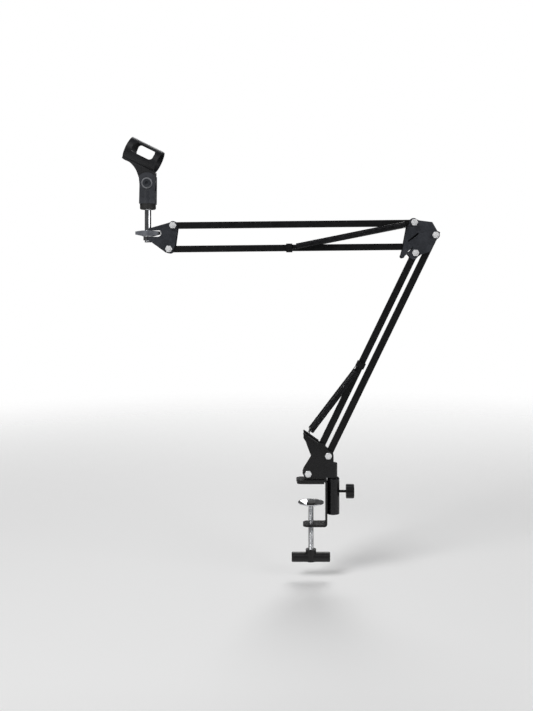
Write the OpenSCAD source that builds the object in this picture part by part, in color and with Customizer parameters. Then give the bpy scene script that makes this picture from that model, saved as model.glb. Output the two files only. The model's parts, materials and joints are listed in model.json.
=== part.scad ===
// Spring-balanced microphone boom arm with a desk clamp, a two-bar lower arm, a two-bar
// upper arm and a swivelling microphone clip. Millimetres, +Z up, +X towards the elbow
// side, +Y to the rear. The origin is where the clamp screw's axis meets the rubber pad
// that rests on the desk.

/* [Desk clamp] */
// Largest desk thickness the jaws take
desk_gap = 60; // [50:1:70]
// Width of the steel strip of the clamp
strip_w = 25; // [22:1:30]
// Thickness of the steel strip
strip_t = 3; // [2.5:0.1:4]
// Thickness of the rubber pad under the upper jaw
pad_t = 3; // [2:0.5:4]
// Clamp screw axis to the inner face of the back plate
throat = 21.2; // [20.5:0.1:28]
// Clamp screw axis to the tip of the upper jaw
upper_reach = 21.7; // [16:0.1:28]
// Clamp screw axis to the tip of the lower jaw
lower_reach = 11.8; // [9:0.1:16]
// Radius of the jaw tips seen from above
tip_r = 8; // [4:0.5:10]
// Outer radius of the two bends
bend_r = 4.5; // [4:0.1:6]

/* [Clamp screw] */
// Clamp screw diameter
screw_d = 8; // [6:0.5:10]
// Pressure dish rim diameter
dish_d = 38.3; // [30:0.1:40]
// Depth of the pressure dish
dish_depth = 5.5; // [4:0.1:8]
// Sheet thickness of the dish
dish_t = 1.2; // [1:0.1:2]
// Height of the dish rim above the lower jaw
dish_rise = 31; // [18:0.5:45]
// Dish rim to the top of the handle hub
screw_len = 70; // [60:1:90]
// Length of the T handle
handle_len = 57; // [45:1:70]
// Diameter of the T handle bar
handle_d = 14.6; // [11:0.1:16]
// Diameter of the hub in the middle of the handle
hub_d = 15.5; // [15:0.5:20]

/* [Swivel socket] */
// Swivel post diameter, which is also the gap between the bracket plates
post_d = 12; // [11.5:0.1:14]
// Outer diameter of the socket tube
socket_od = 18.4; // [17.5:0.1:22]
// How far the socket reaches below the pad face
socket_drop = 46; // [35:1:50]
// Height of the lock screw axis below the pad face
lock_drop = 13; // [10:0.5:25]
// Lock screw diameter
lock_d = 4; // [3.5:0.5:6]
// Socket wall to the inner face of the lock knob
lock_shaft = 9.6; // [6:0.1:14]
// Lock knob diameter
knob_d = 21; // [16:0.5:24]
// Lock knob length
knob_len = 12; // [8:0.5:16]
// Number of grip flutes round the lock knob
knob_flutes = 8; // [6:1:12]

/* [Arms] */
// Pivot to pivot length of the lower tubes
lower_span = 362.4; // [300:0.1:450]
// Lean of the lower tubes from the vertical, degrees
lower_lean = 25.9; // [10:0.1:29]
// Pivot to pivot length of the upper tubes
upper_span = 355.5; // [300:0.1:450]
// Rise of the upper tubes towards the elbow, degrees
upper_rise = 0.6; // [-10:0.1:10]
// Outer width of the square tubes
tube_w = 9.5; // [8:0.1:10.5]
// Wall of the square tubes
tube_wall = 1; // [0.8:0.1:1.5]
// Tube end beyond the pivot, square ends
tube_end = 7; // [5:0.1:7.5]
// Length of the nylon insert in each tube end
insert_len = 13; // [11:0.5:20]

/* [Linkages] */
// Distance between the two lower arm pivots
lower_offset = 39.9; // [37:0.1:44]
// Direction of the second lower pivot above the horizontal, degrees
lower_offset_a = 41.6; // [38:0.1:45]
// Distance between the two upper arm pivots
upper_offset = 35.5; // [33:0.1:38]
// Direction of the upper pivot above the horizontal, degrees
upper_offset_a = 80.6; // [76:0.1:86]
// Elbow: upper pivot to the left of the lower arm's main pivot
elbow_back = 32.5; // [31:0.1:35]
// Elbow: upper pivot above the lower arm's main pivot
elbow_up = 18.1; // [17:0.1:20]

/* [Brackets and fasteners] */
// Thickness of the bracket plates
plate_t = 1.6; // [1.2:0.1:2.5]
// Pivot bolt diameter
bolt_d = 5; // [4:0.1:5.5]
// Nut width across flats
nut_af = 9; // [8:0.1:10]
// Nut height
nut_h = 4; // [3:0.1:5]
// Bolt stud that shows past the nut
stud = 1; // [0.5:0.1:2]
// Height of the domed bolt heads
head_h = 2.6; // [2:0.1:4]
// Side play of a tube between its washers, each side
side_play = 0.1; // [0.05:0.05:0.3]
// Radial running clearance at the pivots
run_fit = 0.05; // [0.02:0.01:0.1]
// Clearance between separate moving pieces
gap = 0.3; // [0.2:0.05:0.5]

/* [Springs] */
// Coil outer diameter
coil_d = 8.6; // [6:0.1:10]
// Spring wire diameter
wire_d = 1.2; // [1:0.1:1.6]
// Space between a spring and the face of the plates beside it
spring_gap = 0.4; // [0.3:0.1:2]
// Lower pivot to the spring pin along a tube
pin_reach = 178; // [150:1:200]
// Spring pin diameter
pin_d = 5; // [4:0.1:5]
// Outer height of the saddle that holds the pin
saddle_h = 12.8; // [12:0.1:15]
// Length of the saddle along its tube
saddle_len = 9; // [8:0.5:16]

/* [Microphone mount] */
// Diameter of the mount rod
rod_d = 9.5; // [8:0.1:10]
// Rod axis to the left of the upper end pivot
rod_back = 38.2; // [36:0.1:42]
// Height of the rod above its lower end
rod_len = 68; // [60:1:90]
// Length of the wing nut
wing_len = 39; // [30:1:42]
// Width of the wing nut
wing_w = 16; // [15:0.5:18]
// Socket diameter of the clip
clip_d = 22.4; // [21:0.1:26]
// Clip socket height up to its pivot
clip_rise = 38.2; // [32:0.1:45]
// Inner diameter of the microphone sleeve
mic_d = 30; // [26:0.5:32]
// Wall of the microphone sleeve
sleeve_wall = 3; // [2.5:0.1:4]
// Length of the microphone sleeve
sleeve_len = 50.4; // [44:0.1:56]
// Tilt of the sleeve below the horizontal, degrees
sleeve_tilt = 26.3; // [20:0.1:32]
// Width of the slit along the top of the sleeve
slit_w = 10; // [6:0.5:14]
// Length of the side windows in the sleeve
window_len = 33.8; // [20:0.1:38]
// Height of the side windows in the sleeve
window_h = 15.8; // [8:0.1:16]

/* [Hidden] */
$fn = 64;

steel_black = "#1c1c1f";
plate_grey = "#3a3d45";
zinc = "#d8d9dc";
chrome = "#c4c6ca";
rubber = "#121212";
plastic = "#17171a";
nylon = "#2a2a2c";

function polar(r, a) = [r * cos(a), r * sin(a)];

// Lower linkage: B and A on the base, L2 and L1 on the elbow. The tube B to L2 is the
// link, the tube A to L1 is the main tube.
B = [-4, pad_t + strip_t + 8.5];
A = B + polar(lower_offset, lower_offset_a);
lower_dir = 90 - lower_lean;
L2 = B + polar(lower_span, lower_dir);
L1 = A + polar(lower_span, lower_dir);

// Upper linkage: U1 and U2 on the elbow, T1 and T2 on the end bracket. The tube U1 to T1
// is the main tube, the tube U2 to T2 is the link.
U1 = L1 + [-elbow_back, elbow_up];
U2 = U1 - polar(upper_offset, upper_offset_a);
upper_dir = 180 + upper_rise;
T1 = U1 + polar(upper_span, upper_dir);
T2 = U2 + polar(upper_span, upper_dir);

lower_pin = B + polar(pin_reach, lower_dir);
upper_pin = U2 + polar(pin_reach, upper_dir);

// Clamp
back_x = throat + strip_t;
jaw_top = pad_t + strip_t;
frame_bottom = -desk_gap - strip_t;
weld_flat = 0.2;
socket_x = back_x + socket_od / 2 - weld_flat;
plate_bottom = jaw_top + 2.5;
socket_top = plate_bottom - gap;
socket_chamfer = 2;
jaw_side_gap = 0.1;
dish_z = -desk_gap + dish_rise;
dish_r = dish_d / 2;
dish_lip = 1.6;
dish_hub_r = 6.5;
ball_r = screw_d / 2 + 0.2;
cap_r = dish_hub_r;
handle_top = dish_z - screw_len;
hub_rise = 4.3;
handle_z = handle_top - hub_rise - handle_d / 2;
bar_chamfer = 1;
screw_socket = 12;
lock_x = socket_x + socket_od / 2;
post_r = post_d / 2;
post_bottom = -socket_drop + 4;
post_top = plate_bottom + 21;
tip_len = 2;
knob_x = lock_x + lock_shaft;

// Stack across the arm
plate_in = post_r;
plate_out = plate_in + plate_t;
tube_half = tube_w / 2;
bolt_r = bolt_d / 2;
head_r = nut_af / 2 + 0.3;
washer_r = bolt_r + 2.5;
spring_y = plate_out + spring_gap + coil_d / 2;
hub_y = spring_y + 3.4;
sleeve_r = bolt_r + 1.5;
sleeve_clear = 0.05;

// End bracket: two plates with a bush for the rod between their noses
rod_r = rod_d / 2;
end_in = max(rod_r, tube_half) + gap;
end_out = end_in + plate_t;
bush_r = end_out;
rod_x = T1[0] - rod_back;
ring_z = T1[1] - 21.8;
ring_h = 5;
slot_bottom = ring_z + ring_h;
slot_h = 10;
slot_end = rod_x + wing_len / 2 + 1.2;
rod_bottom = ring_z - 3.2;
rod_engage = 19.1;
washer_t = 0.8;
washer_z = slot_bottom + 0.4;
wing_z = washer_z + washer_t;
wing_h = 8;
wing_tip_h = 4.2;
wing_centre = wing_z + 4.6;

// Clip
clip_z = rod_bottom + rod_len - rod_engage;
ring_drop = 8;
ring_bottom = clip_z;
clip_pivot = [rod_x + 0.5, clip_z + clip_rise];
adapter_r = 7.9;
adapter_len = 16;
ear_half = clip_d / 2 - 0.15;
ear_top_r = 15.7;
ear_lean = 1.5;
ear_gap = 4.7;
ear_out = 10.4;
tongue_half = ear_gap - 0.2;
tongue_r = 11.2;
ring_r = 8.1;
ring_t = 1;
clip_screw_r = 3;
clip_head_r = 6;
sleeve_out = mic_d / 2 + sleeve_wall;
sleeve_lift = 24.9;
sleeve_rise = sleeve_out + sleeve_lift;
sleeve_lean = 99.2;
sleeve_c = clip_pivot + polar(sleeve_rise, sleeve_lean);
neck_half = 9;
neck_gap = 0.4;
window_shift = [0.7, 4.6];

// --- helpers -----------------------------------------------------------------------

// Extrudes a shape drawn in the X-Z plane along Y, from y0 to y1.
module slab(y0, y1) {
  translate([0, y1, 0]) rotate([90, 0, 0]) linear_extrude(y1 - y0) children();
}

// Cylinder along Y through the point p = [x, z].
module pin_y(p, r, y0, y1) {
  translate([p[0], y1, p[1]]) rotate([90, 0, 0]) cylinder(r = r, h = y1 - y0);
}

// Hexagonal prism along Y.
module hex_y(p, af, y0, y1) {
  translate([p[0], y1, p[1]]) rotate([90, 0, 0]) cylinder(r = af / 2 / cos(30), h = y1 - y0, $fn = 6);
}

module disc_at(p, r) {
  translate(p) circle(r = r);
}

// Rectangle from [x0, y0] to [x1, y1] whose two corners on the +X side are round.
module right_rounded(x0, x1, y0, y1, r) {
  translate([x0, y0]) square([x1 - x0 - r, y1 - y0]);
  translate([x0, y0 + r]) square([x1 - x0, y1 - y0 - 2 * r]);
  disc_at([x1 - r, y0 + r], r);
  disc_at([x1 - r, y1 - r], r);
}

// Rectangle with four round corners, centred on the origin.
module rounded_box(w, h, r) {
  square([w - 2 * r, h], center = true);
  square([w, h - 2 * r], center = true);
  for (sx = [-1, 1], sy = [-1, 1]) disc_at([sx * (w / 2 - r), sy * (h / 2 - r)], r);
}

// Band from p to q with the half width r, square ended.
module band(p, q, r) {
  d = q - p;
  translate(p) rotate(atan2(d[1], d[0])) translate([0, -r]) square([norm(d), 2 * r]);
}

// Moves what is drawn along +X so that it starts at p and runs towards direction a
// in the X-Z plane.
module along(p, a) {
  translate([p[0], 0, p[1]]) rotate([0, -a, 0]) children();
}

// --- desk clamp --------------------------------------------------------------------

module clamp_profile() {
  difference() {
    right_rounded(-upper_reach, back_x, frame_bottom, jaw_top, bend_r);
    right_rounded(-upper_reach - 1, throat, -desk_gap, pad_t, bend_r - strip_t);
  }
}

// Plan of a jaw with a rounded tip at x = -reach.
module jaw_plan(reach) {
  mirror([1, 0]) right_rounded(-back_x, reach, -strip_w / 2, strip_w / 2, tip_r);
}

module clamp_frame() {
  color(steel_black)
  difference() {
    intersection() {
      slab(-strip_w / 2, strip_w / 2) clamp_profile();
      union() {
        linear_extrude(jaw_top) jaw_plan(upper_reach);
        translate([0, 0, frame_bottom]) linear_extrude(-frame_bottom) jaw_plan(lower_reach);
      }
    }
    translate([0, 0, frame_bottom - 1]) cylinder(r = screw_d / 2 + run_fit, h = strip_t + 2);
  }
}

module post_socket() {
  color(steel_black)
  difference() {
    translate([socket_x, 0, 0]) {
      translate([0, 0, -socket_drop]) cylinder(r = socket_od / 2, h = socket_drop + socket_top - socket_chamfer);
      translate([0, 0, socket_top - socket_chamfer])
        cylinder(r1 = socket_od / 2, r2 = socket_od / 2 - socket_chamfer, h = socket_chamfer, $fn = 64);
    }
    translate([socket_x, 0, -socket_drop - 1]) cylinder(r = post_r + run_fit, h = socket_drop + socket_top + 2);
    translate([back_x - socket_od, -socket_od / 2, -socket_drop - 1]) cube([socket_od, socket_od, socket_drop + socket_top + 2]);
    translate([socket_x, 0, -lock_drop]) rotate([0, 90, 0]) cylinder(r = lock_d / 2 + run_fit, h = socket_od);
  }
}

module jaw_pad() {
  pad_inset = 1;
  color(rubber)
  linear_extrude(pad_t)
    mirror([1, 0])
    right_rounded(-throat + bend_r - strip_t, upper_reach - pad_inset,
      -strip_w / 2 + pad_inset, strip_w / 2 - pad_inset, tip_r - pad_inset);
}

module pressure_dish() {
  color(chrome)
  translate([0, 0, dish_z])
  rotate_extrude()
  polygon([
    [screw_d / 2 - 0.6, -dish_depth - dish_t],
    [dish_hub_r, -dish_depth - dish_t],
    [dish_r - dish_lip, -dish_t],
    [dish_r, -dish_t],
    [dish_r, 0],
    [dish_r - dish_lip, 0],
    [dish_hub_r, -dish_depth],
    [screw_d / 2 - 0.6, -dish_depth]
  ]);
}

// Rubber cap in the dish, over the domed end of the screw.
module dish_cap() {
  cap_top = dish_z - 0.5;
  cap_bottom = dish_z - dish_depth;
  color(rubber)
  difference() {
    translate([0, 0, cap_bottom]) cylinder(r = cap_r, h = cap_top - cap_bottom - 0.1);
    translate([0, 0, cap_bottom - 1]) cylinder(r = ball_r + 0.15, h = 1.1 + ball_r + 0.15);
  }
}

// The screw passes the dish with a thin neck between a shoulder and a domed, peened end.
module clamp_screw() {
  neck_r = screw_d / 2 - 0.6 - run_fit;
  dish_top = dish_z - dish_depth;
  shoulder = dish_top - dish_t - 0.1;
  screw_end = handle_z - screw_socket + handle_d / 2;
  color(chrome) {
    translate([0, 0, screw_end]) cylinder(r = screw_d / 2, h = shoulder - screw_end);
    translate([0, 0, shoulder - 0.01]) cylinder(r = neck_r, h = dish_top + 0.1 - shoulder + 0.5);
    intersection() {
      translate([0, 0, dish_top + 0.1]) sphere(r = ball_r, $fn = 48);
      translate([-ball_r, -ball_r, dish_top + 0.1]) cube([2 * ball_r, 2 * ball_r, ball_r]);
    }
  }
}

module screw_handle() {
  screw_end = handle_z - screw_socket + handle_d / 2;
  bar_body = handle_len - 2 * bar_chamfer;
  r = handle_d / 2;
  color(plastic)
  difference() {
    union() {
      translate([-bar_body / 2, 0, handle_z]) rotate([0, 90, 0]) cylinder(r = r, h = bar_body);
      for (s = [0, 180]) rotate([0, 0, s])
        translate([bar_body / 2, 0, handle_z]) rotate([0, 90, 0]) cylinder(r1 = r, r2 = r - bar_chamfer, h = bar_chamfer, $fn = 64);
      translate([0, 0, handle_z - r + 1.5]) cylinder(r = hub_d / 2, h = handle_top - handle_z + r - 1.5);
    }
    translate([0, 0, screw_end]) cylinder(r = screw_d / 2, h = handle_top - screw_end + 1);
  }
}

// --- lock screw of the swivel socket ------------------------------------------------

// Turns what is drawn along +Z so that it runs along +X from x at the lock screw's axis.
module lock_axis(x) {
  translate([x, 0, -lock_drop]) rotate([0, 90, 0]) children();
}

lock_gap = 0.4;
tip_x = socket_x + post_r + lock_gap;

module lock_tip() {
  color(nylon)
  lock_axis(tip_x) {
    cylinder(r = lock_d / 2 - 0.5, h = tip_len / 2);
    translate([0, 0, tip_len / 2]) cylinder(r = 1, h = tip_len);
  }
}

module post_lock_screw() {
  start = tip_x + tip_len / 2;
  color(zinc)
  difference() {
    lock_axis(start) cylinder(r = lock_d / 2, h = knob_x + knob_len - 3 - start);
    lock_axis(start) cylinder(r = 1 + run_fit, h = tip_len + 0.2);
  }
}

module post_lock_knob() {
  flute_r = knob_d * 0.11;
  color(plastic)
  difference() {
    union() {
      lock_axis(knob_x + 1) cylinder(r = knob_d / 2, h = knob_len - 2);
      lock_axis(knob_x) cylinder(r1 = knob_d / 2 - 1, r2 = knob_d / 2, h = 1, $fn = 64);
      lock_axis(knob_x + knob_len - 1) cylinder(r1 = knob_d / 2, r2 = knob_d / 2 - 1, h = 1, $fn = 64);
    }
    for (i = [0 : knob_flutes - 1])
      lock_axis(knob_x - 1) rotate([0, 0, (i + 0.5) * 360 / knob_flutes]) translate([knob_d / 2 + flute_r * 0.35, 0, 0])
        cylinder(r = flute_r, h = knob_len + 2);
    lock_axis(knob_x - 1) cylinder(r = lock_d / 2, h = knob_len - 2);
  }
}

// --- base bracket -------------------------------------------------------------------

module swivel_post() {
  color(steel_black)
  translate([socket_x, 0, 0]) {
    translate([0, 0, post_bottom]) cylinder(r = post_r, h = post_top - post_bottom - 1);
    translate([0, 0, post_top - 1]) cylinder(r1 = post_r, r2 = post_r - 1, h = 1, $fn = 64);
  }
}

// Ear that carries the springs: the top edge slants down towards the tubes.
ear_left = B + [-6.9, 61.3];
ear_angle = -35;
ear_len = 27.8;
hook_along = 7.5;
ear_right = ear_left + polar(ear_len, ear_angle);
spring_hole = ear_left + polar(hook_along, ear_angle);
ear_flange = spring_y + 4.4;
hook_hole_r = 1.7;
base_right = socket_x + 0.3;
boss_a = 7.6;

module base_outline() {
  difference() {
    union() {
      polygon([
        [base_right, plate_bottom],
        [base_right, A[1]],
        A + polar(boss_a * 0.8, 62),
        A + [-3, 11.8],
        A + [-5.7, 18.1],
        ear_right,
        ear_left,
        ear_left + [-0.3, -8.5],
        ear_left + [2.9, -13.4],
        [B[0] + 4.7, A[1] - 1.8],
        B + [-6.9, 6.2],
        B + [-8.7, 1.1],
        B + [-5, plate_bottom - B[1]]
      ]);
      disc_at(A, boss_a);
    }
    disc_at(A + [3.5, 16.2], 8.4);
    for (p = [A, B]) disc_at(p, bolt_r);
  }
}

// Spring flange folded outwards from the ear's slanted edge, on the side s.
module ear_fold(s) {
  inset = 0.4;
  proud = 0.05;
  root = plate_in + plate_t / 2;
  width = ear_flange - root;
  difference() {
    along(ear_left, ear_angle)
      translate([inset, s > 0 ? root : -ear_flange, -plate_t]) cube([ear_len - 2 * inset, width, plate_t + proud]);
    along(spring_hole, ear_angle) translate([0, s * spring_y, -plate_t - 1]) cylinder(r = hook_hole_r, h = plate_t + 2);
  }
}

module base_plate(s) {
  color(steel_black) {
    slab(s > 0 ? plate_in : -plate_out, s > 0 ? plate_out : -plate_in) base_outline();
    ear_fold(s);
  }
}

module base_plate_front() {
  base_plate(-1);
}

module base_plate_rear() {
  base_plate(1);
}

// Bolt with a domed head at the rear, between plates whose outer faces are at +-out.
module pivot_bolt(p, out) {
  pin_y(p, bolt_r, -out - nut_h - stud, out + 0.1);
  translate([p[0], out, p[1]])
  intersection() {
    dome_r = (head_r * head_r + head_h * head_h) / (2 * head_h);
    translate([0, head_h - dome_r, 0]) sphere(r = dome_r, $fn = 64);
    rotate([-90, 0, 0]) cylinder(r = head_r, h = head_h + 1);
  }
}

// Hexagonal nut with a chamfered outer face, seated on a plate's outer face at -out.
module pivot_nut(p, out) {
  corner = nut_af / 2 / cos(30);
  difference() {
    intersection() {
      hex_y(p, nut_af, -out - nut_h, -out);
      translate([p[0], -out, p[1]]) rotate([90, 0, 0]) {
        cylinder(r = corner + 0.1, h = nut_h - 0.9);
        translate([0, 0, nut_h - 0.9]) cylinder(r1 = corner + 0.1, r2 = nut_af / 2 - 0.2, h = 0.9, $fn = 64);
      }
    }
    pin_y(p, bolt_r, -out - nut_h - 1, -out + 1);
  }
}

// The two washers that keep a tube centred between the plates.
module tube_washers(p) {
  for (s = [-1, 1])
    difference() {
      pin_y(p, washer_r, s > 0 ? tube_half + side_play : -plate_in, s > 0 ? plate_in : -tube_half - side_play);
      pin_y(p, bolt_r, -plate_out, plate_out);
    }
}

module base_bolts() {
  color(zinc) for (p = [A, B]) pivot_bolt(p, plate_out);
}

module base_nuts() {
  color(zinc) for (p = [A, B]) pivot_nut(p, plate_out);
}

module base_washers() {
  color(nylon) for (p = [A, B]) tube_washers(p);
}

// --- arm tubes ----------------------------------------------------------------------

// Side outline of a tube that runs along +X between pivots at 0 and span. An end past a
// pivot is square where its length is given, and round about the pivot where it is 0.
module tube_outline(span, start, end) {
  translate([-start, -tube_half]) square([span + start + end, tube_w]);
  if (start == 0) circle(r = tube_half);
  if (end == 0) disc_at([span, 0], tube_half);
}

module tube_cavity(span) {
  translate([-2 * tube_w, tube_wall - tube_half]) square([span + 4 * tube_w, tube_w - 2 * tube_wall]);
}

// The bores of the two pivot bolts of a tube.
module tube_bores(span) {
  for (x = [0, span]) pin_y([x, 0], bolt_r + run_fit, -tube_half - 1, tube_half + 1);
}

module square_tube(span, start, end) {
  difference() {
    slab(-tube_half, tube_half) tube_outline(span, start, end);
    slab(tube_wall - tube_half, tube_half - tube_wall) tube_cavity(span);
    tube_bores(span);
  }
}

// Nylon inserts that plug both ends of a tube and carry the pivot bolts.
module tube_inserts(span, start, end) {
  difference() {
    slab(tube_wall - tube_half, tube_half - tube_wall)
    intersection() {
      tube_outline(span, start, end);
      tube_cavity(span);
      union() {
        translate([-2 * tube_w, -tube_w]) square([2 * tube_w + insert_len - tube_half, 2 * tube_w]);
        translate([span - insert_len + tube_half, -tube_w]) square([2 * tube_w + insert_len, 2 * tube_w]);
      }
    }
    tube_bores(span);
  }
}

module lower_main_tube() {
  color(steel_black) along(A, lower_dir) square_tube(lower_span, tube_end, tube_end);
}

module lower_main_inserts() {
  color(nylon) along(A, lower_dir) tube_inserts(lower_span, tube_end, tube_end);
}

module lower_link_tube() {
  color(steel_black)
  along(B, lower_dir)
  difference() {
    square_tube(lower_span, 0, 0);
    pin_y([pin_reach, 0], pin_d / 2, -tube_w, tube_w);
  }
}

module lower_link_inserts() {
  color(nylon) along(B, lower_dir) tube_inserts(lower_span, 0, 0);
}

module upper_main_tube() {
  color(steel_black) along(U1, upper_dir) square_tube(upper_span, tube_end, 0);
}

module upper_main_inserts() {
  color(nylon) along(U1, upper_dir) tube_inserts(upper_span, tube_end, 0);
}

module upper_link_tube() {
  color(steel_black)
  along(U2, upper_dir)
  difference() {
    square_tube(upper_span, 0, 0);
    pin_y([pin_reach, 0], pin_d / 2, -tube_w, tube_w);
  }
}

module upper_link_inserts() {
  color(nylon) along(U2, upper_dir) tube_inserts(upper_span, 0, 0);
}

// --- springs and what holds them ----------------------------------------------------

// Saddle round a tube at the point p, whose tube runs in direction a.
module saddle(p, a) {
  color(steel_black)
  along(p, a)
  difference() {
    rotate([0, 90, 0]) translate([0, 0, -saddle_len / 2])
      linear_extrude(saddle_len) rounded_box(saddle_h, saddle_h, 1.6);
    cube([saddle_len + 2, tube_w, tube_w], center = true);
    pin_y([0, 0], pin_d / 2, -saddle_h, saddle_h);
  }
}

// Cross pin with a collar at each end that keeps the spring loops on.
module spring_pin(p) {
  color(zinc) {
    pin_y(p, pin_d / 2, -hub_y, hub_y);
    for (s = [-1, 1]) pin_y(p, pin_d / 2 + 1.6, s > 0 ? hub_y - 1.4 : -hub_y, s > 0 ? hub_y : -hub_y + 1.4);
  }
}

// Ring of spring wire round an axis along Y.
module wire_ring(p, y, r) {
  translate([p[0], y, p[1]]) rotate([90, 0, 0]) rotate_extrude() translate([r, 0]) circle(r = wire_d / 2, $fn = 32);
}

// Straight wire from x0 to x1 on the spring's own axis.
module wire_stem(x0, x1) {
  translate([x0, 0, 0]) rotate([0, 90, 0]) cylinder(r = wire_d / 2, h = x1 - x0);
}

// The close-wound stretch of a spring, as a tube, closed by an end plate at each end.
module coil_body(x0, x1) {
  translate([x0, 0, 0]) rotate([0, 90, 0])
  difference() {
    cylinder(r = coil_d / 2, h = x1 - x0);
    translate([0, 0, wire_d]) cylinder(r = coil_d / 2 - wire_d, h = x1 - x0 - 2 * wire_d);
  }
}

lower_axis = lower_pin - spring_hole;
lower_axis_a = atan2(lower_axis[1], lower_axis[0]);
lower_axis_len = norm(lower_axis);
upper_axis = upper_pin - U1;
upper_axis_a = atan2(upper_axis[1], upper_axis[0]);
upper_axis_len = norm(upper_axis);
pin_ring_r = pin_d / 2 + wire_d / 2 + 0.1;
hub_ring_r = sleeve_r + wire_d / 2 + 0.1;
hook_drop = 3.4;
hook_foot = 3;

// Lower spring on the side s: an angled hook through the ear's flange, the coil, and a
// loop round the saddle pin.
module lower_spring(s) {
  y = s * spring_y;
  color(steel_black) {
    along(spring_hole, lower_axis_a) translate([0, y, 0]) {
      wire_stem(-hook_drop, lower_axis_len - pin_ring_r);
      coil_body(8, lower_axis_len - 11);
      translate([-hook_drop, 0, 0]) rotate([-s * 90, 0, 0]) cylinder(r = wire_d / 2, h = hook_foot);
      translate([-hook_drop, 0, 0]) sphere(r = wire_d / 2, $fn = 24);
    }
    wire_ring(lower_pin, y, pin_ring_r);
  }
}

module lower_spring_front() {
  lower_spring(-1);
}

module lower_spring_rear() {
  lower_spring(1);
}

// Upper spring on the side s: a loop round the sleeve on the elbow's spring bolt, the
// coil, and a loop round the saddle pin.
module upper_spring(s) {
  y = s * spring_y;
  color(steel_black) {
    along(U1, upper_axis_a) translate([0, y, 0]) {
      wire_stem(hub_ring_r, upper_axis_len - pin_ring_r);
      coil_body(14, upper_axis_len - 11);
    }
    wire_ring(U1, y, hub_ring_r);
    wire_ring(upper_pin, y, pin_ring_r);
  }
}

module upper_spring_front() {
  upper_spring(-1);
}

module upper_spring_rear() {
  upper_spring(1);
}

module lower_spring_saddle() {
  saddle(lower_pin, lower_dir);
}

module lower_spring_pin() {
  spring_pin(lower_pin);
}

module upper_spring_saddle() {
  saddle(upper_pin, upper_dir);
}

module upper_spring_pin() {
  spring_pin(upper_pin);
}

// --- elbow --------------------------------------------------------------------------

slot_from = U2 + [-1.6, 7.9];
slot_to = U2 + [12.1, 18.8];
slot_half = 1.3;
tongue_tip = U2 + [-10.6, -14.4];

// Outline of the elbow plates. Only the front one has the slot.
module elbow_outline(slotted) {
  difference() {
    union() {
      polygon([
        U1 + [-6.2, -1],
        U1 + [-10.2, -6.8],
        U2 + [-8.1, 8.4],
        U2 + [-9.5, 0],
        tongue_tip + [-2.3, 0.8],
        tongue_tip + [1.9, -1.3],
        L2 + [-9.4, 1.6],
        L2 + [-11.9, -1.3],
        L2 + [-6.7, -6.9],
        L2 + [-2.5, -9.6],
        L2 + [8.8, -2.2],
        L1 + [-9.2, -25],
        L1 + [-4.5, -18],
        L1 + polar(5.6, -60),
        L1 + polar(5.6, 50),
        U1 + [27.6, 1.1],
        U1 + [8.6, 3.5],
        U1 + [-1.5, 6.4]
      ]);
      disc_at(U1, 7);
      disc_at(L1, 6.3);
      disc_at(tongue_tip, 2.9);
      disc_at(L2 + [-2.6, -3.4], 6.3);
    }
    if (slotted) {
      band(slot_from, slot_to, slot_half);
      for (c = [slot_from, slot_to]) disc_at(c, slot_half * 0.98);
    }
    band(L2 + [-11, 1.6], L2 + [-3.6, 7.6], 0.7);
    for (p = [U1, U2, L1, L2]) disc_at(p, bolt_r);
  }
}

module elbow_plate_front() {
  color(plate_grey) slab(-plate_out, -plate_in) elbow_outline(true);
}

module elbow_plate_rear() {
  color(plate_grey) slab(plate_in, plate_out) elbow_outline(false);
}

module elbow_bolts() {
  color(zinc) for (p = [L1, L2]) pivot_bolt(p, plate_out);
}

module elbow_nuts() {
  color(zinc) for (p = [L1, L2]) pivot_nut(p, plate_out);
}

module elbow_washers() {
  color(nylon) for (p = [L1, L2, U1, U2]) tube_washers(p);
}

module spring_bolt() {
  color(zinc) pivot_bolt(U1, hub_y);
}

module spring_bolt_nut() {
  color(zinc) pivot_nut(U1, hub_y);
}

// Sleeves on the long elbow bolt, outside the plates, that the spring loops ride on.
module spring_bolt_sleeves() {
  color(nylon)
  for (s = [-1, 1])
    difference() {
      pin_y(U1, sleeve_r, s > 0 ? plate_out : -hub_y, s > 0 ? hub_y : -plate_out);
      pin_y(U1, bolt_r, -hub_y - 1, hub_y + 1);
    }
}

// Flat rivet through the elbow's lower tongue.
module elbow_rivet() {
  rivet_head = 1;
  color(steel_black) {
    pin_y(U2, bolt_r, -plate_out - 0.1, plate_out + 0.1);
    for (s = [-1, 1])
      pin_y(U2, bolt_r + 1.1, s > 0 ? plate_out : -plate_out - rivet_head, s > 0 ? plate_out + rivet_head : -plate_out);
  }
}

// --- end bracket and microphone mount -----------------------------------------------

module end_outline() {
  nose_top = slot_bottom + slot_h;
  difference() {
    union() {
      polygon([
        [rod_x, ring_z],
        [rod_x + 2, ring_z],
        T2 + [-5, -5.2],
        T2 + [-1.5, -5.6],
        T2 + [4.2, -4.2],
        T2 + [8.6, 4.5],
        T1 + [6.7, -2.3],
        T1 + polar(5.2, 20),
        T1 + polar(5.6, 95),
        [rod_x + 3, nose_top + 2.4],
        [rod_x + 1.8, nose_top - 1],
        [rod_x + 1.8, slot_bottom],
        [rod_x, slot_bottom]
      ]);
      disc_at(T1, 6.4);
      disc_at(T2, 6.4);
    }
    translate([rod_x - 20, slot_bottom]) square([slot_end - rod_x + 20 - slot_h / 2, slot_h]);
    disc_at([slot_end - slot_h / 2, slot_bottom + slot_h / 2], slot_h / 2);
    for (p = [T1, T2]) disc_at(p, bolt_r);
  }
}

// One side of the end bracket, cut to sit against the round bush.
module end_plate(y0, y1) {
  color(plate_grey)
  difference() {
    slab(y0, y1) end_outline();
    translate([rod_x, 0, ring_z - 1]) cylinder(r = bush_r, h = ring_h + 2);
    translate([rod_x, 0, slot_bottom]) cylinder(r = rod_r + gap, h = 30);
  }
}

module end_plate_front() {
  end_plate(-end_out, -end_in);
}

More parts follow.
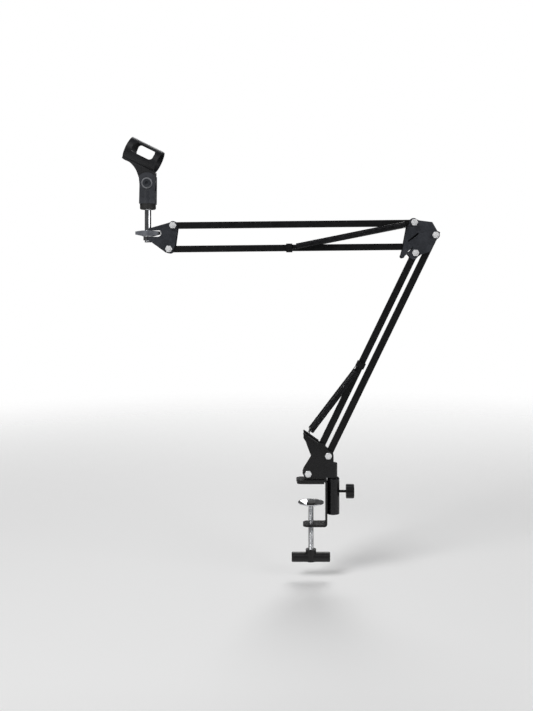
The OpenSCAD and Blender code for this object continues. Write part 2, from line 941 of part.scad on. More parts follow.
module end_plate_rear() {
  end_plate(end_in, end_out);
}

// Bush welded between the noses of the two plates. The rod turns in it.
module rod_bush() {
  color(zinc)
  translate([rod_x, 0, ring_z])
  difference() {
    cylinder(r = bush_r, h = ring_h);
    translate([0, 0, -1]) cylinder(r = rod_r + run_fit, h = ring_h + 2);
  }
}

module end_bolts() {
  color(zinc) for (p = [T1, T2]) pivot_bolt(p, end_out);
}

module end_nuts() {
  color(zinc) for (p = [T1, T2]) pivot_nut(p, end_out);
}

module mic_rod() {
  color(chrome)
  translate([rod_x, 0, rod_bottom]) {
    cylinder(r1 = rod_r - 0.7, r2 = rod_r, h = 0.7, $fn = 64);
    translate([0, 0, 0.7]) cylinder(r = rod_r, h = rod_len - 1.4);
    translate([0, 0, rod_len - 0.7]) cylinder(r1 = rod_r, r2 = rod_r - 0.7, h = 0.7, $fn = 64);
  }
}

module rod_washer() {
  color(zinc)
  translate([rod_x, 0, washer_z])
  difference() {
    cylinder(r = rod_r + 3, h = washer_t - 0.05);
    translate([0, 0, -1]) cylinder(r = rod_r + run_fit, h = washer_t + 2);
  }
}

// Side profile of the wing nut: thick at the hub, thin at the wing tips.
module wing_profile() {
  polygon([
    [-wing_len / 2, wing_centre - wing_tip_h / 2],
    [-7, wing_z],
    [7, wing_z],
    [wing_len / 2, wing_centre - wing_tip_h / 2],
    [wing_len / 2, wing_centre + wing_tip_h / 2],
    [7, wing_z + wing_h],
    [-7, wing_z + wing_h],
    [-wing_len / 2, wing_centre + wing_tip_h / 2]
  ]);
}

// Plan of the wing nut: the overlap of two large discs with its tips rounded off.
module wing_plan() {
  half = wing_len / 2;
  side_r = (half * half + wing_w * wing_w / 4) / wing_w;
  intersection() {
    disc_at([0, side_r - wing_w / 2], side_r);
    disc_at([0, wing_w / 2 - side_r], side_r);
    circle(r = half - 0.8);
  }
}

module wing_nut() {
  color(plastic)
  translate([rod_x, 0, 0])
  difference() {
    intersection() {
      slab(-wing_w, wing_w) wing_profile();
      translate([0, 0, wing_z]) linear_extrude(wing_h) union() {
        wing_plan();
        circle(r = wing_w / 2);
      }
    }
    translate([0, 0, wing_z - 1]) cylinder(r = rod_r + run_fit, h = wing_h + 2);
  }
}

// --- microphone clip ----------------------------------------------------------------

rod_top = rod_bottom + rod_len;

module thread_adapter() {
  color(zinc)
  translate([rod_x, 0, ring_bottom + 2])
  difference() {
    cylinder(r = adapter_r, h = adapter_len);
    translate([0, 0, -1]) cylinder(r = rod_r, h = adapter_len + 2);
  }
}

module socket_ring() {
  color(rubber)
  translate([rod_x, 0, ring_bottom])
  difference() {
    union() {
      cylinder(r1 = clip_d / 2 - 0.6, r2 = clip_d / 2 + 0.5, h = 1.1, $fn = 64);
      translate([0, 0, 1.1]) cylinder(r = clip_d / 2 + 0.5, h = ring_drop - 1.1);
    }
    translate([0, 0, -1]) cylinder(r = adapter_r, h = ring_drop + 2);
  }
}

// Side outline of the fork's ears: upright sides and a top round about the pivot.
module ear_outline(base_z) {
  top = clip_pivot[1] + 20;
  intersection() {
    union() {
      disc_at(clip_pivot, ear_top_r);
      translate([rod_x - 30, base_z]) square([60, clip_pivot[1] - base_z]);
    }
    polygon([
      [rod_x - clip_d / 2, base_z],
      [rod_x + clip_d / 2, base_z],
      [clip_pivot[0] + ear_half, clip_pivot[1]],
      [clip_pivot[0] + ear_half, top],
      [clip_pivot[0] - ear_half - ear_lean * 1.4, top],
      [clip_pivot[0] - ear_half, clip_pivot[1] - 2]
    ]);
  }
}

// Fork that the clip's tongue turns in, with the threaded socket below it.
module clip_socket() {
  base_z = ring_bottom + ring_drop;
  neck_z = clip_pivot[1] - tongue_r - gap;
  color(plastic)
  difference() {
    union() {
      translate([rod_x, 0, base_z]) cylinder(r = clip_d / 2, h = neck_z - base_z);
      intersection() {
        slab(-ear_out, ear_out) ear_outline(base_z);
        translate([rod_x - 0.5, 0, base_z]) linear_extrude(60) rounded_box(2 * ear_top_r, 2 * ear_out, 3);
      }
    }
    slab(-ear_gap, ear_gap) translate([rod_x - 30, neck_z]) square([60, 60]);
    pin_y(clip_pivot, clip_screw_r + run_fit, -20, 20);
    hex_y(clip_pivot, nut_af + 0.2, ear_out - 3, ear_out + 1);
    translate([rod_x, 0, base_z - 1]) cylinder(r = adapter_r, h = rod_engage - ring_drop + 1 + gap);
  }
}

module clip_pivot_ring() {
  color(zinc)
  difference() {
    pin_y(clip_pivot, ring_r, -ear_out - ring_t, -ear_out);
    pin_y(clip_pivot, clip_screw_r + run_fit, -20, 20);
  }
}

module clip_pivot_screw() {
  color(steel_black)
  difference() {
    union() {
      pin_y(clip_pivot, clip_screw_r, -ear_out - ring_t - 0.1, ear_out - 0.5);
      pin_y(clip_pivot, clip_head_r, -ear_out - ring_t - 1.4, -ear_out - ring_t);
    }
    hex_y(clip_pivot, 4, -ear_out - ring_t - 2, -ear_out - ring_t);
  }
}

module clip_pivot_nut() {
  color(zinc)
  difference() {
    hex_y(clip_pivot, nut_af, ear_out - 3, ear_out - 0.2);
    pin_y(clip_pivot, clip_screw_r, ear_out - 4, ear_out);
  }
}

// Neck between the tongue and the sleeve, seen from the side, with hollow flanks.
module neck_outline() {
  u = polar(1, -sleeve_tilt);
  v = polar(1, 90 - sleeve_tilt);
  half = sleeve_len / 2;
  left_c = clip_pivot + [-47.4, 3.6];
  difference() {
    polygon([
      clip_pivot + [-ear_half - 0.6, 0],
      clip_pivot + [ear_half - 0.6, 0],
      clip_pivot + [ear_half - 0.4, 16],
      clip_pivot + [ear_half + 1.6, 22],
      sleeve_c + u * (half + 2.4) - v * (sleeve_out * 0.62),
      sleeve_c + u * half + v,
      sleeve_c - u * half,
      sleeve_c - u * half - v * sleeve_out,
      clip_pivot + [-ear_half - 2.4, 12]
    ]);
    disc_at(left_c, 34.6);
  }
}

module clip_body() {
  half = sleeve_len / 2;
  clear_r = ear_top_r + neck_gap;
  color(plastic)
  difference() {
    union() {
      slab(-tongue_half, tongue_half) union() {
        disc_at(clip_pivot, tongue_r);
        intersection() {
          neck_outline();
          translate(clip_pivot + [-30, 0.5]) square([60, 40]);
        }
      }
      difference() {
        slab(-neck_half, neck_half) neck_outline();
        pin_y(clip_pivot, clear_r, -20, 20);
      }
      along(sleeve_c, -sleeve_tilt) rotate([0, 90, 0]) translate([0, 0, -half]) cylinder(r = sleeve_out, h = sleeve_len);
    }
    along(sleeve_c, -sleeve_tilt) {
      rotate([0, 90, 0]) translate([0, 0, -half - 20]) cylinder(r = mic_d / 2, h = sleeve_len + 40);
      rotate([0, 90, 0]) translate([0, 0, half]) cylinder(r = sleeve_out - 0.5, h = 20);
      translate([-half - 1, -slit_w / 2, 0]) cube([sleeve_len + 2, slit_w, sleeve_out + 1]);
      translate([window_shift[0], sleeve_out + 1, window_shift[1]]) rotate([90, 0, 0])
        linear_extrude(2 * sleeve_out + 2) rounded_box(window_len, window_h, 5.4);
    }
    pin_y(clip_pivot, clip_screw_r + run_fit, -20, 20);
  }
}

// --- assembly -----------------------------------------------------------------------

clamp_frame();
post_socket();
jaw_pad();
pressure_dish();
dish_cap();
clamp_screw();
screw_handle();
lock_tip();
post_lock_screw();
post_lock_knob();
swivel_post();
base_plate_front();
base_plate_rear();
base_bolts();
base_nuts();
base_washers();
lower_main_tube();
lower_main_inserts();
lower_link_tube();
lower_link_inserts();
lower_spring_saddle();
lower_spring_pin();
lower_spring_front();
lower_spring_rear();
elbow_plate_front();
elbow_plate_rear();
elbow_bolts();
elbow_nuts();
elbow_washers();
spring_bolt();
spring_bolt_sleeves();
spring_bolt_nut();
elbow_rivet();
upper_main_tube();
upper_main_inserts();
upper_link_tube();
upper_link_inserts();
upper_spring_saddle();
upper_spring_pin();
upper_spring_front();
upper_spring_rear();
end_plate_front();
end_plate_rear();
rod_bush();
end_bolts();
end_nuts();
mic_rod();
rod_washer();
wing_nut();
thread_adapter();
socket_ring();
clip_socket();
clip_pivot_ring();
clip_pivot_screw();
clip_pivot_nut();
clip_body();
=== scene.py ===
# %% [markdown]
# # A microphone boom arm, finished in Blender
# The metal frame of this arm comes from a CAD model: every plate, tube, bolt and nut is
# already there, in metres, at its real size and place. Blender's work is what a maker's
# eye sees: wound springs, rolled threads, paint, plating and light.
# The first lines load that frame, and its box is kept for placing the floor and the lights.

# %% Load the frame
import bpy
import json
import math
import numpy as np
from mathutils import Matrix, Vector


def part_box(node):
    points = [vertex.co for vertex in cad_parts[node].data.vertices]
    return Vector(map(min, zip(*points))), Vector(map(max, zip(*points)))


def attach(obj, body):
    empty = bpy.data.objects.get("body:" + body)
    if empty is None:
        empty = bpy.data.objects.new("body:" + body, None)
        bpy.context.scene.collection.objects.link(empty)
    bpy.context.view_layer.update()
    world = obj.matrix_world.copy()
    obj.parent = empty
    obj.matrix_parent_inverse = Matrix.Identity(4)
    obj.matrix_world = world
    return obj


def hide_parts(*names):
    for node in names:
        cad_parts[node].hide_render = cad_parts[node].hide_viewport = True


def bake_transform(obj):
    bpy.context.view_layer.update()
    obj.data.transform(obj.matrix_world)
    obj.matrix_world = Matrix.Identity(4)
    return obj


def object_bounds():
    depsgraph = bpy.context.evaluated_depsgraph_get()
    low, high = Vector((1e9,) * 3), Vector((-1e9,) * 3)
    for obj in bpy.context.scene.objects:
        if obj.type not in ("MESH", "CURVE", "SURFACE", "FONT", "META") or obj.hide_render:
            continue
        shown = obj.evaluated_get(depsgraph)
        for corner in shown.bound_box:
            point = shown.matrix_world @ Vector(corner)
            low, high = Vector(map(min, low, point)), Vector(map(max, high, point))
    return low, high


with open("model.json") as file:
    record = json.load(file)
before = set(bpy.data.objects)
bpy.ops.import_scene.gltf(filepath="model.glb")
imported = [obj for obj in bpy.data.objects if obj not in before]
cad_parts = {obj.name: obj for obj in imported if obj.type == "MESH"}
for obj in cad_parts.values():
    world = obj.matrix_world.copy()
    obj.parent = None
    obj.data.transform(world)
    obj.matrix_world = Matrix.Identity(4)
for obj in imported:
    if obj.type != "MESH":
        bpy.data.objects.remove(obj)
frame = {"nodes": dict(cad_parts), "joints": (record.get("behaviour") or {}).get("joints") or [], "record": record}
cad_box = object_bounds()
nodes = frame["nodes"]
joint_at = {j["name"]: np.array(j["pos_m"]) for j in frame["joints"] if "pos_m" in j}

# %% [markdown]
# ## Surfaces from arrays
# Every new piece is a grid of points. One parameter runs along the piece and the other
# runs round it, so a whole surface is one array of shape (along, round, 3). Neighbouring
# grid points make the faces, and the two open ends are closed with a fan, so that the
# piece is a watertight skin with its faces outwards.

# %% A grid of points becomes a mesh
MM = 0.001


def skin(name, grids):
    """Joins closed tubes into one mesh. Each grid is (n along, m round, 3): face (i, j)
    joins (i, j), (i, j+1), (i+1, j+1), (i+1, j), round is closed, and each end is a fan
    to the mean of its ring. The signed volume, a sum of triple products, tells whether
    the faces point inwards, and such a grid is run the other way round."""
    verts, faces, base = [], [], 0
    for g in grids:
        g = np.asarray(g, float)
        for _ in range(2):
            n, m = g.shape[:2]
            ij = np.arange(n * m).reshape(n, m)
            nxt = np.roll(ij, -1, axis=1)
            quads = np.stack([ij[:-1], nxt[:-1], nxt[1:], ij[1:]], -1).reshape(-1, 4)
            pts = np.vstack([g.reshape(-1, 3), g[0].mean(0), g[-1].mean(0)])
            lo = np.stack([nxt[0], ij[0], np.full(m, n * m)], -1)
            hi = np.stack([ij[-1], nxt[-1], np.full(m, n * m + 1)], -1)
            tri = np.vstack([quads[:, :3], quads[:, [0, 2, 3]], lo, hi])
            a, b, c = pts[tri[:, 0]], pts[tri[:, 1]], pts[tri[:, 2]]
            if np.einsum("ij,ij->i", a, np.cross(b, c)).sum() > 0:
                break
            g = g[:, ::-1]
        verts.append(pts)
        faces += (quads + base).tolist() + (lo + base).tolist() + (hi + base).tolist()
        base += len(pts)
    mesh = bpy.data.meshes.new(name)
    mesh.from_pydata(np.vstack(verts).tolist(), [], faces)
    mesh.polygons.foreach_set("use_smooth", np.ones(len(mesh.polygons), bool))
    mesh.update()
    piece = bpy.data.objects.new(name, mesh)
    bpy.context.scene.collection.objects.link(piece)
    print(name, len(mesh.vertices), "points", len(mesh.polygons), "faces")
    return piece


def turned(along, radius, centre, axis, side, count=48):
    """Surface of revolution: point = centre + axis * along + radius * (side cos t + up sin t),
    with up = axis x side. radius may be one number a row, or a full (along, round) array."""
    axis, side = np.array(axis, float), np.array(side, float)
    up = np.cross(axis, side)
    t = np.arange(count) * 2 * np.pi / count
    ring = np.cos(t)[:, None] * side + np.sin(t)[:, None] * up
    radius = np.asarray(radius, float)
    if radius.ndim == 1:
        radius = np.repeat(radius[:, None], count, 1)
    return np.array(centre) + np.array(along)[:, None, None] * axis + radius[..., None] * ring[None]


# %% [markdown]
# ## Finishes
# The arm is black on black, so its look lives in the gloss: paint that has flowed over
# the plates, powder coat on the tubes, moulded plastic on the grips. Each finish is the
# same small graph. Slow noise drifts the colour and the gloss, fine noise lifts a bump,
# and a rounded-edge normal catches light where a real corner has a radius. All noise
# reads object coordinates in metres, so a scale of 1000 is one cell a millimetre.

# %% One recipe for every finish
def finish(name, dark, light, metallic=0.0, rough=(0.3, 0.45), drift=60, grain=900, depth=0.00004,
           edge=0.0004, stretch=(1, 1, 1), coat=0.0, coat_rough=0.1, fleck=0.0, specular=0.5):
    """colour = mix(dark, light, noise(drift)); roughness = rough range over noise(drift * 5);
    normal = bump(noise(grain)) * depth over an edge rounded to the radius edge."""
    mat = bpy.data.materials.new(name)
    mat.use_nodes = True
    tree = mat.node_tree
    new, link = tree.nodes.new, tree.links.new
    shader = tree.nodes["Principled BSDF"]
    shader.inputs["Metallic"].default_value = metallic
    shader.inputs["Specular IOR Level"].default_value = specular
    shader.inputs["Coat Weight"].default_value = coat
    shader.inputs["Coat Roughness"].default_value = coat_rough
    place = new("ShaderNodeTexCoord")
    turn = new("ShaderNodeMapping")
    turn.inputs["Scale"].default_value = stretch
    link(place.outputs["Object"], turn.inputs["Vector"])

    def noise(scale, detail, rough_):
        n = new("ShaderNodeTexNoise")
        n.inputs["Scale"].default_value = scale
        n.inputs["Detail"].default_value = detail
        n.inputs["Roughness"].default_value = rough_
        link(turn.outputs["Vector"], n.inputs["Vector"])
        return n

    slow, middle, fine = noise(drift, 3, 0.55), noise(drift * 5, 4, 0.6), noise(grain, 2, 0.5)
    ramp = new("ShaderNodeValToRGB")
    ramp.color_ramp.elements[0].position, ramp.color_ramp.elements[1].position = 0.35, 0.68
    ramp.color_ramp.elements[0].color = (*dark, 1)
    ramp.color_ramp.elements[1].color = (*light, 1)
    link(slow.outputs["Fac"], ramp.inputs["Fac"])
    colour = ramp.outputs["Color"]
    if fleck:
        spots = new("ShaderNodeTexVoronoi")
        spots.inputs["Scale"].default_value = grain * 0.7
        link(turn.outputs["Vector"], spots.inputs["Vector"])
        near = new("ShaderNodeMapRange")
        near.inputs["From Min"].default_value, near.inputs["From Max"].default_value = 0.16, 0.08
        near.inputs["To Max"].default_value = fleck
        link(spots.outputs["Distance"], near.inputs["Value"])
        mix = new("ShaderNodeMix")
        mix.data_type = "RGBA"
        mix.inputs["B"].default_value = (0.2, 0.2, 0.21, 1)
        link(near.outputs["Result"], mix.inputs["Factor"])
        link(colour, mix.inputs["A"])
        colour = mix.outputs["Result"]
    link(colour, shader.inputs["Base Color"])
    gloss = new("ShaderNodeMapRange")
    gloss.inputs["From Min"].default_value, gloss.inputs["From Max"].default_value = 0.3, 0.7
    gloss.inputs["To Min"].default_value, gloss.inputs["To Max"].default_value = rough
    link(middle.outputs["Fac"], gloss.inputs["Value"])
    link(gloss.outputs["Result"], shader.inputs["Roughness"])
    bump = new("ShaderNodeBump")
    bump.inputs["Strength"].default_value = 0.6
    bump.inputs["Distance"].default_value = depth
    link(fine.outputs["Fac"], bump.inputs["Height"])
    if edge:
        round_edge = new("ShaderNodeBevel")
        round_edge.samples = 4
        round_edge.inputs["Radius"].default_value = edge
        link(round_edge.outputs["Normal"], bump.inputs["Normal"])
    link(bump.outputs["Normal"], shader.inputs["Normal"])
    return mat


# %% The finishes of this arm
finishes = {
    "clamp_black": finish("clamp_black_paint", (0.0022, 0.0022, 0.0026), (0.005, 0.005, 0.006),
                          rough=(0.2, 0.34), grain=500, depth=0.00003, coat=0.12, fleck=0.06, specular=0.32),
    "tube_black": finish("tube_powder_coat", (0.002, 0.002, 0.0024), (0.005, 0.005, 0.0058),
                         rough=(0.36, 0.5), grain=1400, depth=0.00003, specular=0.28),
    "plate_enamel": finish("bracket_enamel", (0.030, 0.033, 0.040), (0.055, 0.059, 0.070), metallic=0.35,
                           rough=(0.3, 0.44), grain=700, depth=0.00003, coat=0.15, fleck=0.06),
    "bright_zinc": finish("bright_zinc_plate", (0.90, 0.91, 0.92), (0.97, 0.97, 0.98), metallic=0.35,
                          rough=(0.3, 0.44), drift=70, grain=1500, depth=0.00001, edge=0.0003),
    "bright_chrome": finish("polished_chrome", (0.55, 0.56, 0.58), (0.80, 0.81, 0.83), metallic=1.0,
                            rough=(0.05, 0.16), drift=90, grain=1800, depth=0.00001, edge=0.0002),
    "spring_steel": finish("oiled_spring_wire", (0.006, 0.006, 0.007), (0.022, 0.022, 0.025), metallic=0.7,
                           rough=(0.28, 0.42), drift=200, grain=2500, depth=0.00001, edge=0.0),
    "pad_rubber": finish("pad_rubber_matte", (0.008, 0.008, 0.008), (0.018, 0.018, 0.018),
                         rough=(0.6, 0.85), grain=1600, depth=0.00008),
    "dark_nylon": finish("insert_nylon", (0.012, 0.012, 0.013), (0.022, 0.022, 0.024),
                         rough=(0.4, 0.6), grain=1100, depth=0.00005),
    "handle_plastic": finish("grip_plastic", (0.003, 0.003, 0.0035), (0.008, 0.008, 0.009),
                             rough=(0.32, 0.48), grain=1300, depth=0.00005, specular=0.4),
    "clip_plastic": finish("clip_plastic_grain", (0.005, 0.005, 0.006), (0.011, 0.0115, 0.014),
                           rough=(0.38, 0.54), grain=1700, depth=0.00006, specular=0.4),
    # The wing nut's grey colour is a painted sheen: it lightens the whole nut to stand for the light on its top
    # face.
    "wing_painted_sheen": finish("wing_nut_painted_sheen", (0.10, 0.105, 0.12), (0.20, 0.21, 0.235), metallic=0.3,
                        rough=(0.34, 0.5), grain=1400, depth=0.00003),
    "ring_grey": finish("pivot_ring_plate", (0.20, 0.205, 0.22), (0.32, 0.325, 0.34), metallic=0.4,
                        rough=(0.36, 0.5), grain=1500, depth=0.00002, edge=0.0002),
    # The socket's lighter grey-blue colour is a painted sheen; only its fine bump is the plastic's real grain.
    "fork_painted_sheen": finish("fork_plastic_grain_painted_sheen", (0.020, 0.022, 0.028), (0.040, 0.043, 0.052),
                        rough=(0.36, 0.52), grain=1700, depth=0.00006),
}
print("finishes", len(finishes))

# %% [markdown]
# ## Paint the frame
# The record says which material slot each CAD node belongs to, so one pass gives every
# node its finish. Only the slots change, and the meshes stay as they are.

# %% Give every CAD node its finish
slot_of = {s["node"]: s["material_slot"] for s in frame["record"]["subparts"]}
# The wing nut and the clip socket get finishes with a painted sheen in their colour; the pivot ring gets its grey
# metal.
own_finish = {"wing_nut": "wing_painted_sheen", "clip_pivot_ring": "ring_grey", "clip_socket": "fork_painted_sheen"}
for name, node in nodes.items():
    node.data.materials.clear()
    node.data.materials.append(finishes[own_finish.get(name, slot_of[name])])
print("painted", len(nodes), "nodes")


def dress(piece, slot, body=None, stands_for=()):
    """Finish, body and the CAD nodes that a new piece stands for."""
    piece.data.materials.clear()
    piece.data.materials.append(finishes[slot])
    if body:
        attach(piece, body)
    if stands_for:
        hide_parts(*stands_for)
    return piece


# %% [markdown]
# ## Springs
# Four extension springs carry the arm's weight. A real one is a single wire: a loop at
# one end, close turns side by side, and a loop or hook at the other end. It is drawn as
# one path of points, and a round section is carried along it. The section's frame is
# carried from point to point without twist, because a frame taken from the curve alone
# would flip where the wire straightens.

# %% Carry a round section along a path
WIRE = 0.6 * MM


def wire_grid(path, radius=WIRE, sides=8):
    """Tube round a path: point = path + radius * (n cos t + b sin t). n is carried along
    without twist by taking away its part along each new tangent; b = tangent x n."""
    tangent = np.gradient(path, axis=0)
    tangent /= np.linalg.norm(tangent, axis=1)[:, None]
    n = np.cross(tangent[0], [0.31, 0.88, 0.36])
    normals = np.empty_like(path)
    for k, t in enumerate(tangent):
        n = n - t * (n @ t)
        n /= np.linalg.norm(n)
        normals[k] = n
    binormals = np.cross(tangent, normals)
    a = np.arange(sides) * 2 * np.pi / sides
    ring = normals[:, None] * np.cos(a)[None, :, None] + binormals[:, None] * np.sin(a)[None, :, None]
    return path[:, None] + radius * ring


def ease(p0, d0, p1, d1, count=14):
    """Hermite curve from p0 to p1 with end directions d0 and d1: cubic weights of t."""
    t = np.linspace(0, 1, count)[:, None]
    return ((2 * t**3 - 3 * t**2 + 1) * p0 + (t**3 - 2 * t**2 + t) * d0
            + (3 * t**2 - 2 * t**3) * p1 + (t**3 - t**2) * d1)


# %% The path of one spring
def spring_path(coil_from, coil_to, far, far_r, near=None, near_r=None, hook=None, radius=3.7 * MM):
    """Wire of a spring along u, in (u, v, y) with v across the arm and y out of it.
    Turns: (u, r cos p, r sin p), u growing by one wire a turn. A loop at far, and either
    a loop at near or a hook that dips to hook below the axis' start."""
    turns = round((coil_to - coil_from) / (2 * WIRE * 1.04))
    p = np.linspace(0, turns * 2 * np.pi, turns * 14)
    climb = coil_from + (coil_to - coil_from) * p / p[-1]
    coil = np.stack([climb, radius * np.cos(p), radius * np.sin(p)], -1)
    q = np.linspace(0, 1.7 * np.pi, 26)
    loop = np.stack([far + far_r * np.sin(q), far_r * np.cos(q), 0 * q], -1)
    reach = 5 * MM
    out = ease(coil[-1], np.array([0.2, 0, 1.0]) * reach, loop[0], np.array([1.0, 0, 0]) * reach)
    if near is not None:
        back = np.stack([near - near_r * np.sin(q), near_r * np.cos(q), 0 * q], -1)[::-1]
        start = [back,
                 ease(back[-1], np.array([1.0, 0, 0]) * reach, coil[0], np.array([0.2, 0, 1.0]) * reach)[1:]]
    else:
        w = np.linspace(0, np.pi / 2, 8)
        bend = 1.2 * MM
        rise = np.array([[-hook, 0, 4.2 * MM]])
        tip = np.stack([-hook + bend * (1 - np.cos(w)), 0 * w, bend * (1 - np.sin(w))], -1)
        stem = np.stack([np.linspace(-hook + bend, coil_from * 0.55, 16), np.zeros(16), np.zeros(16)], -1)
        start = [rise, tip, stem[1:],
                 ease(stem[-1], np.array([1.0, 0, 0]) * reach, coil[0], np.array([0.1, 0, 1.0]) * reach)[1:]]
    return np.vstack([*start, coil[1:], out[1:], loop[1:]])


def lay(path, origin, direction, y, side):
    """Puts (u, v, y) points into the frame: origin + u * direction + v * across + y * outwards."""
    direction = direction / np.linalg.norm(direction)
    across = np.array([-direction[2], 0, direction[0]])
    return (np.array([origin[0], y, origin[2]]) + path[:, :1] * direction + path[:, 1:2] * across
            + path[:, 2:] * np.array([0, side, 0]))


# %% Where the springs hold
B, U1 = joint_at["lower_link_tilt"], joint_at["upper_arm_tilt"]
PIN_LOOP, BOLT_LOOP = 3.2 * MM, 4.7 * MM
COIL_END = 11 * MM


def middle(node):
    lo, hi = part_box(node)
    return (np.array(lo) + np.array(hi)) / 2


lower_pin, upper_pin = middle("lower_spring_pin"), middle("upper_spring_pin")
ear_hole = B + np.array([-0.76, 0, 57.0]) * MM
SPRING_Y = abs(middle("lower_spring_front")[1])
print("spring plane", round(SPRING_Y * 1000, 2), "mm from the middle")

# %% Wind the four springs
for name, side in (("front", -1), ("rear", 1)):
    span = lower_pin - ear_hole
    path = spring_path(8 * MM, np.linalg.norm(span) - COIL_END, np.linalg.norm(span), PIN_LOOP,
                       hook=3.0 * MM)
    low = skin(f"lower_coil_{name}", [wire_grid(lay(path, ear_hole, span, side * SPRING_Y, side))])
    dress(low, "spring_steel", stands_for=[f"lower_spring_{name}"])
    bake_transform(low)
    span = upper_pin - U1
    path = spring_path(14 * MM, np.linalg.norm(span) - COIL_END, np.linalg.norm(span), PIN_LOOP,
                       near=0.0, near_r=BOLT_LOOP)
    high = skin(f"upper_coil_{name}", [wire_grid(lay(path, U1, span, side * SPRING_Y, side))])
    dress(high, "spring_steel", stands_for=[f"upper_spring_{name}"])
    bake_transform(high)

# %% [markdown]
# ## Threads
# A thread is a groove that climbs one pitch a turn. On a grid of height and angle that is
# a wave of height / pitch - angle / full turn, so no groove is cut: the radius follows the
# wave. The pitch is the same number that couples turning and travel in the model, so a
# screw that turns stays in step with its nut.

# %% Threaded rods
def thread(z, radius, pitch, depth, centre, count=36, plain=()):
    """radius(z, t) = radius - depth * wave, wave = |2 frac(z / pitch - t / full turn) - 1| with
    flattened crests; depth fades to 0 at both ends and in each plain stretch (low, high)."""
    t = np.arange(count) / count
    saw = (z[:, None] / pitch - t[None]) % 1
    wave = np.clip(np.abs(2 * saw - 1) * 1.5 - 0.25, 0, 1)
    fade = np.minimum(np.clip((z - z[0]) / (2 * pitch), 0, 1), np.clip((z[-1] - z) / (2 * pitch), 0, 1))
    for low, high in plain:
        fade = fade * np.clip(np.maximum(low - z, z - high) / pitch, 0, 1)
    return turned(z, radius - depth * fade[:, None] * wave, centre, (0, 0, 1), (1, 0, 0), count)


SCREW_PITCH, ROD_PITCH = 1.25 * MM, 1.5875 * MM
lo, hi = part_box("clamp_screw")
ball = 4.5 * MM
shoulder = hi[2] - ball - 1.6 * MM
z = np.arange(lo[2], shoulder, SCREW_PITCH / 6)
stem = thread(z, 4.0 * MM, SCREW_PITCH, 0.62 * MM, (0, 0, 0))
w = np.linspace(0, np.pi / 2, 10)
tip = turned(np.concatenate([[shoulder - 0.4 * MM, hi[2] - ball], hi[2] - ball + ball * np.sin(w)]),
             np.concatenate([[3.35 * MM, 3.35 * MM], np.maximum(ball * np.cos(w), 0.02 * MM)]),
             (0, 0, 0), (0, 0, 1), (1, 0, 0), 36)
screw = skin("clamp_screw_thread", [stem, tip])
dress(screw, "bright_chrome", "screw", ["clamp_screw"])

lo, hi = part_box("mic_rod")
rod_x = (lo[0] + hi[0]) / 2
z = np.arange(lo[2], hi[2], ROD_PITCH / 6)
rod = skin("mount_rod_thread", [thread(z, 4.75 * MM, ROD_PITCH, 0.55 * MM, (rod_x, 0, 0),
                                       plain=[(lo[2] + 19 * MM, lo[2] + 47 * MM)])])
dress(rod, "bright_chrome", "mic_rod", ["mic_rod"])

# %% [markdown]
# ## Light, floor and camera
# The arm stands before plain white. The camera is level, a little over a metre away, and
# its lens is shifted rather than tilted, so the clamp's upright edges stay parallel.
# A pale floor below fades into the white behind it, and three soft lights give the black
# parts their long, quiet highlights.

# %% Camera
cam_data = bpy.data.cameras.new("camera")
cam_data.lens = 820 / 711 * 36
cam_data.sensor_width = 36
cam_data.shift_x, cam_data.shift_y = -43.5 / 711, -71.5 / 711
cam_data.clip_start, cam_data.clip_end = 0.05, 60
camera = bpy.data.objects.new("camera", cam_data)
camera.location = (-0.00136, -1.218, 0.29465)
camera.rotation_euler = (math.radians(90), 0, 0)
bpy.context.scene.collection.objects.link(camera)
bpy.context.scene.camera = camera

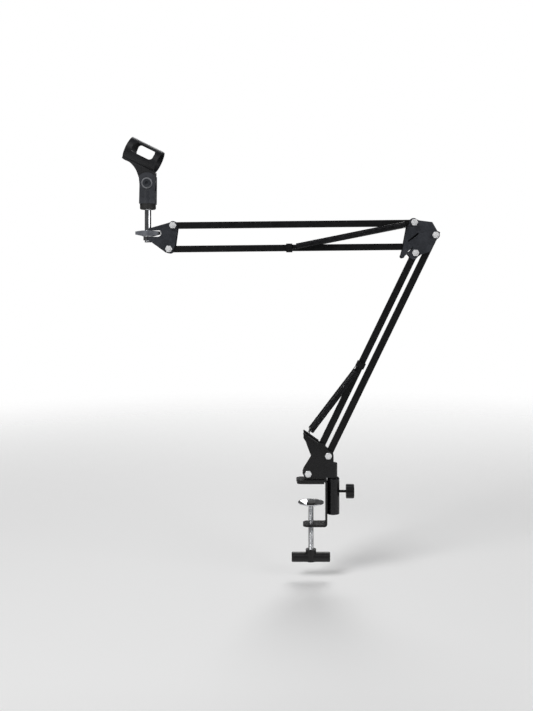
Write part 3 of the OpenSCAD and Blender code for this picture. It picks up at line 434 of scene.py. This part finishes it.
# %% Floor
SCREW_DROP = 0.020
floor_z = cad_box[0][2] - SCREW_DROP - 0.004
mesh = bpy.data.meshes.new("floor")
mesh.from_pydata([(-8, -8, floor_z), (8, -8, floor_z), (8, 8, floor_z), (-8, 8, floor_z)], [], [(0, 1, 2, 3)])
floor = bpy.data.objects.new("floor", mesh)
bpy.context.scene.collection.objects.link(floor)
mat = bpy.data.materials.new("pale_floor")
mat.use_nodes = True
tree = mat.node_tree
new, link = tree.nodes.new, tree.links.new
shader = tree.nodes["Principled BSDF"]
shader.inputs["Base Color"].default_value = (0.93, 0.93, 0.93, 1)
shader.inputs["Roughness"].default_value = 0.9
place, length, fade = new("ShaderNodeTexCoord"), new("ShaderNodeVectorMath"), new("ShaderNodeMapRange")
length.operation = "LENGTH"
link(place.outputs["Object"], length.inputs[0])
link(length.outputs["Value"], fade.inputs["Value"])
fade.interpolation_type = "SMOOTHSTEP"
fade.inputs["From Min"].default_value, fade.inputs["From Max"].default_value = 0.5, 2.2
clear, mix = new("ShaderNodeBsdfTransparent"), new("ShaderNodeMixShader")
link(fade.outputs["Result"], mix.inputs["Fac"])
link(shader.outputs["BSDF"], mix.inputs[1])
link(clear.outputs["BSDF"], mix.inputs[2])
link(mix.outputs["Shader"], tree.nodes["Material Output"].inputs["Surface"])
mesh.materials.append(mat)


# %% Lights
def softbox(name, place, target, size, power, tint=(1, 1, 1)):
    """Square area light at place, facing target."""
    data = bpy.data.lights.new(name, "AREA")
    data.size, data.energy, data.color = size, power, tint
    lamp = bpy.data.objects.new(name, data)
    lamp.location = place
    way = np.array(target, float) - np.array(place, float)
    lean = math.atan2(math.hypot(way[0], way[1]), -way[2])
    lamp.rotation_euler = (lean, 0, math.atan2(way[1], way[0]) - math.pi / 2)
    bpy.context.scene.collection.objects.link(lamp)
    return lamp


middle_z = (cad_box[0][2] + cad_box[1][2]) / 2
softbox("key_light", (-1.3, -1.5, 1.9), (-0.03, 0, middle_z), 1.2, 42)
softbox("fill_light", (1.8, -1.3, 0.7), (-0.03, 0, middle_z), 1.4, 16)
softbox("rim_light", (0.2, 1.7, 1.7), (-0.03, 0, middle_z), 1.3, 26)
world = bpy.data.worlds.new("white_room")
bpy.context.scene.world = world
world.use_nodes = True
tree = world.node_tree
new, link = tree.nodes.new, tree.links.new
back = tree.nodes["Background"]
rays, mix = new("ShaderNodeLightPath"), new("ShaderNodeMapRange")
mix.inputs["To Min"].default_value, mix.inputs["To Max"].default_value = 0.09, 1.0
link(rays.outputs["Is Camera Ray"], mix.inputs["Value"])
link(mix.outputs["Result"], back.inputs["Strength"])
back.inputs["Color"].default_value = (1, 1, 1, 1)
bpy.context.scene.view_settings.view_transform = "Standard"
